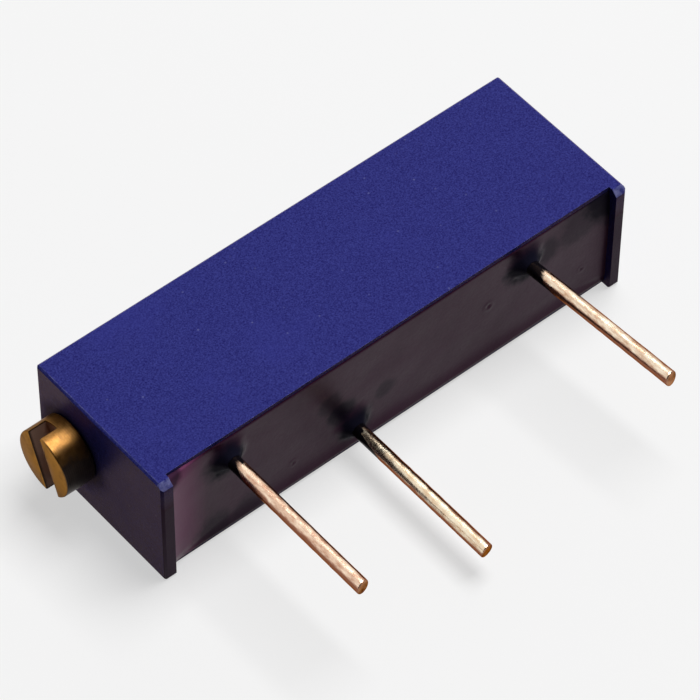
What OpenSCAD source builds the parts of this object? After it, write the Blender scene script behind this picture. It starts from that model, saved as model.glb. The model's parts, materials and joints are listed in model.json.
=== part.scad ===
// Rectangular multi-turn trimmer potentiometer, lying on one of its large side faces.
//
// +X runs along the case, away from the adjusting screw. -Y is the side that the
// terminals leave from, so a board would stand at the feet on that side. +Z points
// up from the side face that the part lies on. The origin is the middle of that face.

/* [Case] */
// Length of the case between its two end faces
case_len = 19.2; // [18.6:0.1:24]
// Height of the case from its standoff feet to its closed back
case_height = 6.35; // [6.3:0.05:8]
// Thickness of the case between its two large side faces
case_thick = 4.8; // [4.7:0.05:6]
// Thickness of the two large side walls
side_wall = 0.5; // [0.4:0.05:0.6]
// Thickness of the closed back wall
back_wall = 0.5; // [0.3:0.05:0.55]
// Thickness of the two end walls, as seen at the feet
end_wall = 0.45; // [0.3:0.05:0.8]
// Height of the standoff feet beyond the side walls
foot_height = 0.38; // [0.2:0.02:0.6]
// Chamfer on the outer edges of the case
edge_chamfer = 0.08; // [0.03:0.01:0.15]

/* [Screw bearings] */
// Distance from the closed back to the axis of the screw
axis_depth = 1.75; // [1.65:0.05:2]
// Length of the bearing block at the head end, from the end face
bearing_len = 2.3; // [2.1:0.05:2.6]
// Length of the bearing block at the far end, from the end face
far_bearing_len = 1.25; // [1.1:0.05:1.8]
// Radial clearance of the screw in its two bearings
bearing_clearance = 0.03; // [0.01:0.01:0.06]

/* [Lead screw] */
// Diameter of the slotted head
head_d = 2.45; // [2.3:0.05:2.9]
// Length of the slotted head
head_len = 1.15; // [0.9:0.05:2]
// Gap between the head and the end face of the case
head_gap = 0.04; // [0.02:0.01:0.2]
// Chamfer on the rim of the head
head_chamfer = 0.05; // [0.02:0.01:0.12]
// Width of the screwdriver slot
slot_width = 0.66; // [0.4:0.02:0.8]
// Depth of the screwdriver slot
slot_depth = 0.7; // [0.4:0.05:0.85]
// Turn of the slot from upright, at rest
slot_angle = 20; // [-90:1:90]
// Diameter of the plain neck that runs in the bearing block
neck_d = 2.1; // [2:0.02:2.2]
// Major diameter of the thread
thread_d = 1.7; // [1.5:0.05:1.75]
// Distance that the carriage moves in one turn of the screw
thread_pitch = 0.72; // [0.5:0.01:0.78]
// Turns of the screw over the whole travel
turns = 15; // [8:1:16]
// Diameter of the pilot that runs in the far bearing
pilot_d = 1.0; // [0.8:0.05:1.3]
// Length of the pilot that lies in the far bearing
pilot_len = 0.65; // [0.4:0.05:0.7]
// Clearance between the end of the pilot and the bottom of its pocket
pilot_end_gap = 0.05; // [0.02:0.01:0.08]

/* [Shaft seal] */
// Distance from the end face to the middle of the sealing ring
seal_depth = 0.95; // [0.85:0.05:1.1]
// Depth of the ring's groove in the neck
seal_groove_depth = 0.4; // [0.3:0.02:0.45]
// Width of the ring's groove
seal_groove_width = 0.6; // [0.55:0.02:0.7]
// Clearance between the sealing ring and the walls that it seals against
seal_clearance = 0.01; // [0.005:0.005:0.02]

/* [Retaining clip] */
// Thickness of the sheet that the clip is stamped from
clip_thick = 0.25; // [0.15:0.05:0.3]
// Wall of the bearing block between the clip's slot and the block's inner face
clip_inset = 0.2; // [0.15:0.05:0.3]
// Depth of the clip's groove in the neck
clip_groove_depth = 0.4; // [0.3:0.02:0.45]
// Play between the clip and the screw's groove, and between the clip and its slot
clip_play = 0.03; // [0.02:0.01:0.05]
// Width of each leg of the clip
clip_leg = 0.95; // [0.6:0.05:1]
// Height of the clip's closed end below the groove
clip_bridge = 1.2; // [0.6:0.05:1.5]

/* [Carriage] */
// Length of the carriage along the screw
carriage_len = 3.0; // [2.6:0.1:3.4]
// Play between the carriage and the side walls
carriage_play = 0.06; // [0.03:0.01:0.12]
// Play between the carriage and the closed back
carriage_headroom = 0.12; // [0.05:0.01:0.2]
// Radial clearance of the carriage's half nut on the thread
nut_clearance = 0.04; // [0.02:0.01:0.06]
// Gap between the carriage's underside and the element
carriage_gap = 0.5; // [0.4:0.02:0.6]
// Diameter of the pegs that the wiper is staked on
peg_d = 0.4; // [0.3:0.05:0.5]
// Height of the pegs below the wiper
peg_head = 0.05; // [0.03:0.01:0.1]

/* [Wiper] */
// Thickness of the spring sheet
wiper_thick = 0.08; // [0.05:0.01:0.1]
// Length of the wiper's base plate along the screw
wiper_base_len = 1.3; // [1.1:0.05:1.4]
// Width of one pair of contact fingers
finger_width = 0.44; // [0.34:0.02:0.5]
// Width of the slit between the two fingers of a pair
finger_slit = 0.06; // [0.04:0.01:0.1]
// Reach of the fingers from the base plate to their contact line
finger_reach = 1.15; // [0.9:0.05:1.3]
// Gap left between the fingers and the tracks
contact_gap = 0.01; // [0.005:0.005:0.02]
// Rise of the turned-up finger ends above the tracks
finger_toe = 0.22; // [0.1:0.02:0.3]

/* [Element] */
// Height of the element's track side above the feet
element_height = 1.92; // [1.8:0.02:1.98]
// Thickness of the ceramic substrate
substrate_thick = 0.64; // [0.5:0.02:0.75]
// Clearance around the edges of the substrate
substrate_clearance = 0.05; // [0.02:0.01:0.1]
// Thickness of the fired tracks
film_thick = 0.04; // [0.02:0.01:0.05]
// Distance between the centre lines of the two tracks
track_spacing = 1.2; // [1.1:0.05:1.3]
// Width of the resistive track
resistive_width = 0.7; // [0.6:0.05:0.9]
// Width of the collector track
collector_width = 0.6; // [0.56:0.02:0.8]
// Length of an end termination pad along the case
pad_len = 0.9; // [0.8:0.05:1.1]
// Width of the collector's tab around its terminal
tab_width = 0.9; // [0.8:0.05:1.2]

/* [Terminals] */
// Diameter of the terminal wire
terminal_d = 0.51; // [0.4:0.01:0.56]
// Length of the terminals beyond the feet
terminal_len = 6.2; // [3:0.1:12]
// Distance from the screw's end face to terminal 1
terminal_inset = 2.9; // [2.85:0.05:3.2]
// Distance along the case from terminal 1 to terminal 2
pitch_12 = 5.08; // [4.8:0.02:5.4]
// Distance along the case from terminal 1 to the end of terminal 3
pitch_13 = 12.7; // [12.4:0.05:12.9]
// Distance between the two rows of terminals, across the case
row_spacing = 2.54; // [2.4:0.02:2.6]
// Angle at which terminal 3 leans away from the screw, where it leaves the sealant
lean_3 = 3.2; // [0:0.1:4]
// Chamfer on the cut ends of the terminals
terminal_chamfer = 0.04; // [0.02:0.01:0.08]
// Diameter of the upset collar that anchors each terminal in the sealant
collar_d = 0.8; // [0.7:0.02:0.9]
// Length of the collar
collar_len = 0.25; // [0.15:0.05:0.3]
// Diameter of the taper where it leaves the collar
taper_d = 0.7; // [0.6:0.02:0.7]
// Length of the taper, from the middle of the collar to the plain wire
taper_len = 0.78; // [0.7:0.02:0.8]
// Clearance of the terminals in the substrate's holes
hole_clearance = 0.05; // [0.03:0.01:0.1]
// Radius of a solder fillet on the track side
solder_r = 0.36; // [0.32:0.01:0.37]
// Height of a solder fillet above its pad
solder_height = 0.16; // [0.1:0.01:0.2]

/* [Sealant] */
// Depth of the sealant's surface below the edges of the side walls
sealant_recess = 0.06; // [0.02:0.01:0.15]
// Height that the sealant climbs up each terminal
meniscus_height = 0.38; // [0.2:0.02:0.4]
// Radius of the sealant's mound around each terminal
meniscus_r = 0.62; // [0.5:0.02:0.75]
// Gap between the sealant and what is cast into it
cast_gap = 0.005; // [0.002:0.001:0.01]

/* [Hidden] */
$fn = 48;
// Overlap that keeps joined shapes from meeting in a bare face
merge = 0.02;

// Planes along X
face_x = -case_len / 2;
far_face_x = case_len / 2;
cavity_x = case_len / 2 - end_wall;
bearing_x = face_x + bearing_len;
far_bearing_x = far_face_x - far_bearing_len;

// Planes along Y
seat_y = -case_height / 2;
back_y = case_height / 2;
wall_edge_y = seat_y + foot_height;
cavity_back_y = back_y - back_wall;
track_y = seat_y + element_height;
film_y = track_y + film_thick;
substrate_y = track_y - substrate_thick;
sealant_y = wall_edge_y + sealant_recess;
collar_y = (sealant_y + substrate_y) / 2;
tip_y = seat_y - terminal_len;
axis_y = back_y - axis_depth;

// Planes along Z
mid_z = case_thick / 2;
cavity_half = mid_z - side_wall;
upper_row_z = mid_z + row_spacing / 2;
lower_row_z = mid_z - row_spacing / 2;
resistive_z = mid_z + track_spacing / 2;
collector_z = mid_z - track_spacing / 2;

// Screw
bore_d = neck_d + 2 * bearing_clearance;
pilot_bore_d = pilot_d + 2 * bearing_clearance;
seal_root_r = neck_d / 2 - seal_groove_depth;
seal_x = face_x + seal_depth;
ring_section = bore_d / 2 - seal_root_r - 2 * seal_clearance;
ring_r = seal_root_r + seal_clearance + ring_section / 2;
clip_root_r = neck_d / 2 - clip_groove_depth;
clip_x1 = bearing_x - clip_inset - clip_play;
clip_x0 = clip_x1 - clip_thick;
clip_half = clip_root_r + clip_play + clip_leg;

// Travel of the carriage, with the wiper's contact line kept on the tracks
travel = thread_pitch * turns;
track_x0 = face_x + terminal_inset + pad_len / 2;
inner_3_x = face_x + terminal_inset + pitch_13 - (collar_y - tip_y) * tan(lean_3);
track_x1 = inner_3_x - pad_len / 2;
contact_x = (track_x0 + track_x1) / 2;
wiper_base_x = contact_x + finger_reach;
carriage_x = wiper_base_x + wiper_base_len / 2 - 0.2;
carriage_y = track_y + carriage_gap;
carriage_half = cavity_half - carriage_play;
wiper_half = track_spacing / 2 + finger_width / 2;

// Terminals: place along the case, height of the row, and lean
terminal_x = [face_x + terminal_inset, face_x + terminal_inset + pitch_12, inner_3_x];
terminal_z = [upper_row_z, lower_row_z, upper_row_z];
terminal_lean = [0, 0, lean_3];
terminal_top_y = film_y + solder_height + 0.03;
hole_d = terminal_d + 2 * hole_clearance;

// ---- Shared shapes ----

// A box given by its two opposite corners.
module span(low, high) {
    translate(low) cube(high - low);
}

// A round bar along X between two planes, on the screw's axis.
module shaft(x0, x1, d0, d1 = undef) {
    translate([x0, axis_y, mid_z])
        rotate([0, 90, 0])
            cylinder(h = x1 - x0, d1 = d0, d2 = is_undef(d1) ? d0 : d1);
}

// A rectangle with cut corners, centred.
module cut_corner_rect(width, height, cut) {
    w = width / 2;
    h = height / 2;
    polygon([
        [w - cut, -h], [w, -h + cut], [w, h - cut], [w - cut, h],
        [-w + cut, h], [-w, h - cut], [-w, -h + cut], [-w + cut, -h]
    ]);
}

// Puts its children at a terminal's place, with +Z turned along the terminal, outwards.
module at_terminal(i, y) {
    translate([terminal_x[i], y, terminal_z[i]])
        rotate([90, 0, 0])
            children();
}

// ---- Case ----

module case_envelope() {
    intersection() {
        linear_extrude(height = case_thick)
            cut_corner_rect(case_len, case_height, edge_chamfer);
        translate([0, back_y, mid_z])
            rotate([90, 0, 0])
                linear_extrude(height = case_height)
                    cut_corner_rect(case_len, case_thick, edge_chamfer);
        translate([face_x, 0, mid_z])
            rotate([90, 0, 90])
                linear_extrude(height = case_len)
                    cut_corner_rect(case_height, case_thick, edge_chamfer);
    }
}

// Slot in the bearing block that the retaining clip is pushed into.
module clip_slot() {
    span(
        [clip_x0 - clip_play, track_y - merge, mid_z - clip_half - clip_play],
        [clip_x1 + clip_play, axis_y + clip_root_r + clip_play + 0.4, mid_z + clip_half + clip_play]
    );
}

module case() {
    color("#33357a")
    difference() {
        case_envelope();
        // Room for the carriage, between the two bearing blocks
        span(
            [bearing_x, track_y - merge, side_wall],
            [far_bearing_x, cavity_back_y, case_thick - side_wall]
        );
        // Room for the element and the sealant, up to the end walls
        span(
            [-cavity_x, seat_y - merge, side_wall],
            [cavity_x, track_y, case_thick - side_wall]
        );
        // Side walls cut back between the feet
        span(
            [-cavity_x, seat_y - merge, -merge],
            [cavity_x, wall_edge_y, case_thick + merge]
        );
        shaft(face_x - merge, bearing_x + merge, bore_d);
        shaft(far_bearing_x - merge, far_bearing_x + pilot_len + pilot_end_gap, pilot_bore_d);
        clip_slot();
    }
}

// ---- Screw, its seal and its clip ----

module lead_screw() {
    head_x0 = face_x - head_gap - head_len;
    head_x1 = face_x - head_gap;
    color("#b08a3e")
    difference() {
        union() {
            shaft(head_x0, head_x0 + head_chamfer, head_d - 2 * head_chamfer, head_d);
            shaft(head_x0 + head_chamfer, head_x1, head_d);
            shaft(head_x1, seal_x - seal_groove_width / 2, neck_d);
            shaft(seal_x - seal_groove_width / 2, seal_x + seal_groove_width / 2, 2 * seal_root_r);
            shaft(seal_x + seal_groove_width / 2, clip_x0 - clip_play, neck_d);
            shaft(clip_x0 - clip_play, clip_x1 + clip_play, 2 * clip_root_r);
            shaft(clip_x1 + clip_play, bearing_x, neck_d);
            shaft(bearing_x, far_bearing_x - pilot_end_gap, thread_d);
            shaft(far_bearing_x - pilot_end_gap, far_bearing_x + pilot_len, pilot_d);
        }
        translate([head_x0, axis_y, mid_z])
            rotate([-slot_angle, 0, 0])
                translate([-merge, -slot_width / 2, -head_d])
                    cube([slot_depth + merge, slot_width, 2 * head_d]);
    }
}

module shaft_seal_ring() {
    color("#7a3b2a")
    translate([seal_x, axis_y, mid_z])
        rotate([0, 90, 0])
            rotate_extrude()
                translate([ring_r, 0])
                    circle(d = ring_section, $fn = 24);
}

module retaining_clip() {
    slot_half = clip_root_r + clip_play;
    color("#c9ccd0")
    difference() {
        span(
            [clip_x0, axis_y - slot_half - clip_bridge, mid_z - clip_half],
            [clip_x1, axis_y + slot_half, mid_z + clip_half]
        );
        shaft(clip_x0 - merge, clip_x1 + merge, 2 * slot_half);
        span(
            [clip_x0 - merge, axis_y, mid_z - slot_half],
            [clip_x1 + merge, axis_y + slot_half + merge, mid_z + slot_half]
        );
    }
}

// ---- Carriage and wiper ----

module carriage_pegs(y0, y1, d) {
    for (side = [-1, 1])
        translate([wiper_base_x + wiper_base_len * 0.6, y1, mid_z + side * track_spacing / 2])
            rotate([90, 0, 0])
                cylinder(h = y1 - y0, d = d);
}

module carriage() {
    nut_r = thread_d / 2 + nut_clearance;
    x0 = carriage_x - carriage_len / 2;
    x1 = carriage_x + carriage_len / 2;
    color("#e8e4d8")
    union() {
        difference() {
            span(
                [x0, carriage_y, mid_z - carriage_half],
                [x1, cavity_back_y - carriage_headroom, mid_z + carriage_half]
            );
            shaft(x0 - merge, x1 + merge, 2 * nut_r);
            span(
                [x0 - merge, axis_y, mid_z - nut_r],
                [x1 + merge, cavity_back_y, mid_z + nut_r]
            );
        }
        carriage_pegs(carriage_y - wiper_thick - peg_head, carriage_y + merge, peg_d);
    }
}

// Side outline of a finger: down from the base plate to the track, then turned up.
module finger_outline() {
    top = carriage_y;
    low = film_y + contact_gap;
    toe_x = contact_x - 0.35;
    polygon([
        [wiper_base_x + merge, top],
        [contact_x + 0.12, low + wiper_thick],
        [contact_x - 0.08, low + wiper_thick],
        [toe_x, low + finger_toe + wiper_thick],
        [toe_x - wiper_thick * 0.6, low + finger_toe + wiper_thick * 0.4],
        [contact_x - 0.12, low],
        [contact_x + 0.12, low],
        [wiper_base_x + merge, top - wiper_thick]
    ]);
}

module wiper() {
    strip = (finger_width - finger_slit) / 2;
    color("#d8c48a")
    difference() {
        union() {
            span(
                [wiper_base_x, carriage_y - wiper_thick, mid_z - wiper_half],
                [wiper_base_x + wiper_base_len, carriage_y, mid_z + wiper_half]
            );
            for (track_z = [resistive_z, collector_z], side = [-1, 1])
                translate([0, 0, track_z + side * (finger_slit + strip) / 2 - strip / 2])
                    linear_extrude(height = strip)
                        finger_outline();
        }
        carriage_pegs(carriage_y - wiper_thick - merge, carriage_y + merge, peg_d + 2 * cast_gap);
    }
}

// ---- Element ----

module substrate() {
    half_x = cavity_x - substrate_clearance;
    half_z = cavity_half - substrate_clearance;
    color("#f1efe8")
    difference() {
        span(
            [-half_x, substrate_y, mid_z - half_z],
            [half_x, track_y, mid_z + half_z]
        );
        for (i = [0:2])
            at_terminal(i, track_y + merge)
                cylinder(h = substrate_thick + 2 * merge, d = hole_d);
    }
}

// A flat film on the track side of the substrate, between two corners in X and Z.
module film(x0, x1, z0, z1) {
    span([x0, track_y, z0], [x1, film_y, z1]);
}

module film_hole(i) {
    at_terminal(i, film_y + merge)
        cylinder(h = film_thick + 2 * merge, d = hole_d);
}

module resistive_track() {
    color("#3a3a3c")
    film(track_x0, track_x1, resistive_z - resistive_width / 2, resistive_z + resistive_width / 2);
}

module collector_track() {
    color("#b9b9b4")
    difference() {
        union() {
            film(track_x0, track_x1, collector_z - collector_width / 2, collector_z + collector_width / 2);
            film(
                terminal_x[1] - tab_width / 2, terminal_x[1] + tab_width / 2,
                lower_row_z - solder_r, collector_z
            );
        }
        film_hole(1);
    }
}

// Pad at one end of the resistive track, around its terminal.
module termination_pad(i) {
    color("#b9b9b4")
    difference() {
        film(
            terminal_x[i] - pad_len / 2, terminal_x[i] + pad_len / 2,
            resistive_z - resistive_width / 2, upper_row_z + solder_r
        );
        film_hole(i);
    }
}

// ---- Terminals ----

// One terminal, larger all round by grow, for the shape that it leaves in the sealant.
// A taper runs from its collar down to the plain wire, inside the mound of sealant.
// It may lean from its collar on, so that the collar hides the bend.
module terminal_shape(i, grow) {
    free = (collar_y - tip_y) / cos(terminal_lean[i]);
    wire_r = terminal_d / 2 + grow;
    at_terminal(i, terminal_top_y + grow)
        cylinder(h = terminal_top_y + grow - collar_y, r = wire_r);
    at_terminal(i, collar_y + collar_len / 2 + grow)
        cylinder(h = collar_len + 2 * grow, d = collar_d + 2 * grow);
    at_terminal(i, collar_y)
        rotate([0, terminal_lean[i], 0])
            rotate_extrude()
                polygon([
                    [0, 0], [taper_d / 2 + grow, 0], [wire_r, taper_len],
                    [wire_r, free - terminal_chamfer], [wire_r - terminal_chamfer, free], [0, free]
                ]);
}

module terminal(i) {
    color("#c8a67a") terminal_shape(i, 0);
}

module solder_joint(i) {
    r0 = terminal_d / 2 + cast_gap;
    color("#b8bcc2")
    at_terminal(i, film_y)
        mirror([0, 0, 1])
            rotate_extrude()
                polygon([
                    [r0, 0], [solder_r, 0],
                    [(2 * solder_r + r0) / 3, solder_height * 0.25],
                    [(solder_r + 3 * r0) / 4, solder_height * 0.6],
                    [r0 + 0.02, solder_height], [r0, solder_height]
                ]);
}

// ---- Sealant ----

// Hollow-sided mound of sealant on a terminal, an arc that runs out flat at its foot.
module meniscus(i) {
    r_top = terminal_d / 2 + 0.03;
    steps = 6;
    at_terminal(i, sealant_y + merge)
        rotate_extrude()
            polygon(concat(
                [[0, 0], [meniscus_r, 0], [meniscus_r, merge]],
                [for (k = [1:steps]) let (a = 90 * k / steps) [
                    meniscus_r - (meniscus_r - r_top) * sin(a),
                    merge + meniscus_height * (1 - cos(a))
                ]],
                [[0, merge + meniscus_height]]
            ));
}

module potting_seal() {
    color("#3a2c33")
    difference() {
        union() {
            span(
                [-cavity_x, sealant_y, side_wall],
                [cavity_x, substrate_y, case_thick - side_wall]
            );
            for (i = [0:2]) meniscus(i);
        }
        for (i = [0:2]) terminal_shape(i, cast_gap);
    }
}

case();
potting_seal();
lead_screw();
shaft_seal_ring();
retaining_clip();
carriage();
wiper();
substrate();
resistive_track();
collector_track();
termination_pad(0);  // termination_pad_1
termination_pad(2);  // termination_pad_3
terminal(0);  // terminal_1
terminal(1);  // terminal_2
terminal(2);  // terminal_3
solder_joint(0);  // solder_joint_1
solder_joint(1);  // solder_joint_2
solder_joint(2);  // solder_joint_3
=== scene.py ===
"""Looks, light and camera for a multi-turn trimmer potentiometer.

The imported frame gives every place. Sizes are in millimetres, and each mesh is turned
to metres when it becomes an object.
"""
import json
import logging
import math
from collections.abc import Sequence
from dataclasses import dataclass, field
from enum import Enum
from typing import Any

import bmesh
import bpy
from mathutils import Matrix, Vector, noise


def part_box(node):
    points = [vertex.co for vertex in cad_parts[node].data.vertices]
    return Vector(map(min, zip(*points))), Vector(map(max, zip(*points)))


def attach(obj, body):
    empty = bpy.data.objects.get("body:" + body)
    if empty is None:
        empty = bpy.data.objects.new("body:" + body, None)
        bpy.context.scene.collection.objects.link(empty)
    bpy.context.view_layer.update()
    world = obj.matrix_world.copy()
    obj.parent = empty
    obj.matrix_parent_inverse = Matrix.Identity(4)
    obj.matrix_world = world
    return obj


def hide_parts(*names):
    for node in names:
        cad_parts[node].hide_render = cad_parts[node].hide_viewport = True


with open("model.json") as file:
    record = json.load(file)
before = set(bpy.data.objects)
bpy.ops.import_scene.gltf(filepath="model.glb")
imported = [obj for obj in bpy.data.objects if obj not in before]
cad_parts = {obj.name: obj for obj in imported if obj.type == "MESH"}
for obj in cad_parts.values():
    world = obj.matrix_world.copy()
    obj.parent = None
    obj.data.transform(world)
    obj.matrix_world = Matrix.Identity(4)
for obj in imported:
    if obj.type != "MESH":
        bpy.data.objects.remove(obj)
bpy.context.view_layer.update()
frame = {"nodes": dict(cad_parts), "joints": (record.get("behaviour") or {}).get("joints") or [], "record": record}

log = logging.getLogger("trimmer")

MM = 0.001
SHARP_DEGREES = 25
Edge = bmesh.types.BMEdge
Mesh = bmesh.types.BMesh
Tree = bpy.types.NodeTree
Node = bpy.types.Node
Socket = bpy.types.NodeSocket

MAP_RANGE = "ShaderNodeMapRange"
MAPPING = "ShaderNodeMapping"
MATH = "ShaderNodeMath"
MIX = "ShaderNodeMix"
MIX_SHADER = "ShaderNodeMixShader"
SEPARATE = "ShaderNodeSeparateXYZ"
TEX_COORD = "ShaderNodeTexCoord"
VECTOR_MATH = "ShaderNodeVectorMath"
SMOOTH = {"interpolation_type": "SMOOTHSTEP"}


# ---- Shared helpers ----


class Body(Enum):
    """The bodies of the frame that pieces ride on."""

    CASE = "body"
    SCREW = "screw"
    SLIDER = "slider"


def srgb(code: str) -> tuple[float, float, float, float]:
    """Turn an sRGB colour into the linear values that shaders take.

    Args:
        code: A colour such as "#31357c".

    Returns:
        Linear red, green, blue and an alpha of 1.
    """
    parts = [int(code[i : i + 2], 16) / 255 for i in (1, 3, 5)]
    linear = [p / 12.92 if p <= 0.04045 else ((p + 0.055) / 1.055) ** 2.4 for p in parts]
    return (linear[0], linear[1], linear[2], 1.0)


def per_metre(size_mm: float) -> float:
    """Return the texture scale at which a pattern repeats about every size_mm."""
    return 1 / (size_mm * MM)


def clamped(share: float) -> float:
    """Return a share, kept between 0 and 1."""
    return min(max(share, 0), 1)


def add_node(
    tree: Tree, kind: str, values: dict[str | int, Any] | None = None, **settings: Any
) -> Node:
    """Add a node with its settings, and its sockets set or linked.

    Args:
        tree: The tree that gets the node.
        kind: The node's type.
        values: A number, a colour, a node's output, or a node, which means its first
            output in use, for each input socket.
        **settings: Attributes of the node.

    Returns:
        The new node.
    """
    node = tree.nodes.new(kind)
    for name, value in settings.items():
        setattr(node, name, value)
    for socket, value in (values or {}).items():
        if isinstance(value, Node):
            value = next(output for output in value.outputs if output.enabled)
        if isinstance(value, Socket):
            tree.links.new(value, node.inputs[socket])
        else:
            node.inputs[socket].default_value = value
    return node


def node_box(name: str) -> tuple[Vector, Vector]:
    """Return a CAD node's lowest and highest corners in millimetres."""
    low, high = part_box(name)
    return low / MM, high / MM


def mount_axis(name: str) -> tuple[Vector, Vector]:
    """Return a mount's point in millimetres and its direction."""
    mount = next(m for m in frame["record"]["mounts"] if m["name"] == name)
    return Vector(mount["pos_m"]) / MM, Vector(mount["axis"])


def screw_axis() -> Vector:
    """Return a point on the screw's axis in millimetres."""
    joint = next(j for j in frame["joints"] if j["name"] == "screw_turn")
    return Vector(joint["pos_m"]) / MM


def cad_copy(name: str) -> Mesh:
    """Copy a CAD node's mesh, in millimetres, with its loose triangles joined to flat faces.

    Args:
        name: The CAD node.

    Returns:
        The joined copy.
    """
    bm = bmesh.new()
    bm.from_mesh(frame["nodes"][name].data)
    bmesh.ops.scale(bm, vec=(1 / MM,) * 3, verts=bm.verts)
    bmesh.ops.remove_doubles(bm, verts=bm.verts, dist=0.0005)
    bmesh.ops.dissolve_limit(bm, angle_limit=math.radians(0.5), verts=bm.verts, edges=bm.edges)
    return bm


def sharp_edges(bm: Mesh, over: float) -> list[Edge]:
    """Return the edges that turn by more than an angle in degrees."""
    limit = math.radians(over)
    return [e for e in bm.edges if len(e.link_faces) == 2 and e.calc_face_angle(0) > limit]


def soften(bm: Mesh, width: float) -> None:
    """Round the sharp edges of a mesh.

    Args:
        bm: The mesh, in millimetres.
        width: Width of the rounding.
    """
    bmesh.ops.bevel(
        bm,
        geom=sharp_edges(bm, SHARP_DEGREES),
        offset=width,
        offset_type="OFFSET",
        affect="EDGES",
        segments=2,
        profile=0.5,
        material=-1,
        clamp_overlap=True,
    )


def lathe(profile: Sequence[tuple[float, float]], steps: int) -> Mesh:
    """Turn a profile into a closed solid of revolution about +Z.

    Args:
        profile: Radius and height of each point, from one pole to the other.
        steps: Steps of the full turn.

    Returns:
        The closed mesh.
    """
    bm = bmesh.new()
    verts = [bm.verts.new((radius, 0, height)) for radius, height in profile]
    edges = [bm.edges.new(pair) for pair in zip(verts, verts[1:])]
    bmesh.ops.spin(
        bm,
        geom=verts + edges,
        cent=(0, 0, 0),
        axis=(0, 0, 1),
        angle=math.tau,
        steps=steps,
        use_merge=True,
    )
    bmesh.ops.remove_doubles(bm, verts=bm.verts, dist=1e-5)
    bmesh.ops.recalc_face_normals(bm, faces=bm.faces)
    return bm


def draw_out(bm: Mesh, rim: list[Edge]) -> tuple[list[Edge], set[bmesh.types.BMVert]]:
    """Extrude a rim of edges, and leave the new rim to be moved.

    Args:
        bm: The mesh.
        rim: The edges.

    Returns:
        The new rim and its points.
    """
    made = bmesh.ops.extrude_edge_only(bm, edges=rim)["geom"]
    edges = [part for part in made if isinstance(part, Edge)]
    return edges, {vert for edge in edges for vert in edge.verts}


def add_object(name: str, bm: Mesh) -> bpy.types.Object:
    """Turn a mesh into an object of the scene.

    Args:
        name: The object's name.
        bm: The mesh, freed here.

    Returns:
        The object.
    """
    mesh = bpy.data.meshes.new(name)
    bm.to_mesh(mesh)
    bm.free()
    made = bpy.data.objects.new(name, mesh)
    bpy.context.scene.collection.objects.link(made)
    return made


def make_piece(
    name: str,
    bm: Mesh,
    body: Body,
    finish: "Finish",
    stands_for: str,
    smooth_below: float = 50.0,
) -> None:
    """Turn a mesh in millimetres into a finished piece that rides on its body.

    Args:
        name: Name of the piece.
        bm: The mesh, freed here.
        body: The body that the piece moves with.
        finish: The piece's finish.
        stands_for: The CAD node that the piece replaces.
        smooth_below: Edges that turn by less than this, in degrees, are shaded smooth.
    """
    bmesh.ops.scale(bm, vec=(MM,) * 3, verts=bm.verts)
    piece = add_object(name, bm)
    mesh = piece.data
    mesh.shade_smooth()
    mesh.set_sharp_from_angle(angle=math.radians(smooth_below))
    even = piece.modifiers.new("flat_faces_stay_flat", "WEIGHTED_NORMAL")
    even.keep_sharp = True
    mesh.materials.append(finish.material())
    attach(piece, body.value)
    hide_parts(stands_for)
    log.info("%s: %d faces on %s", name, len(mesh.polygons), body.value)


def dress_node(name: str, finish: "Finish") -> None:
    """Give a CAD node its finish.

    Args:
        name: The CAD node.
        finish: Its finish.
    """
    node = frame["nodes"][name]
    for slot in node.material_slots:
        slot.material = finish.material()
    if not node.material_slots:
        node.data.materials.append(finish.material())
    log.info("%s: dressed", name)


# ---- Finishes ----


class Follow(Enum):
    """What a mask follows over a surface."""

    PLACE = "Object"
    NORMAL = "Normal"


class Axis(Enum):
    """The axes of the frame."""

    X = 0
    Y = 1
    Z = 2


def mask_along(
    tree: Tree,
    follow: Follow,
    axis: Axis,
    none_at: float,
    full_at: float,
    most: float = 1.0,
    **settings: Any,
) -> Node:
    """Return a mask that grows along one axis of the place or of the normal.

    Args:
        tree: The material's tree.
        follow: What the mask follows.
        axis: The axis.
        none_at: Where the mask is 0, in millimetres for a place.
        full_at: Where it is fullest.
        most: Its greatest value.
        **settings: Attributes of its Map Range node.

    Returns:
        The mask.
    """
    unit = MM if follow is Follow.PLACE else 1.0
    source = add_node(tree, TEX_COORD).outputs[follow.value]
    part = add_node(tree, SEPARATE, {0: source}).outputs[axis.value]
    ends = {0: part, 1: none_at * unit, 2: full_at * unit, 4: most}
    return add_node(tree, MAP_RANGE, ends, **settings)


def off_screw_axis(tree: Tree) -> Node:
    """Return the distance from the screw's axis.

    Args:
        tree: The material's tree.

    Returns:
        The distance, in metres.
    """
    coords = add_node(tree, TEX_COORD).outputs["Object"]
    flat = {0: coords, 1: tuple(-screw_axis() * MM), 3: (0.0, 1.0, 1.0)}
    centred = add_node(tree, MAPPING, flat)
    return add_node(tree, VECTOR_MATH, {0: centred}, operation="LENGTH")


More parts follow.
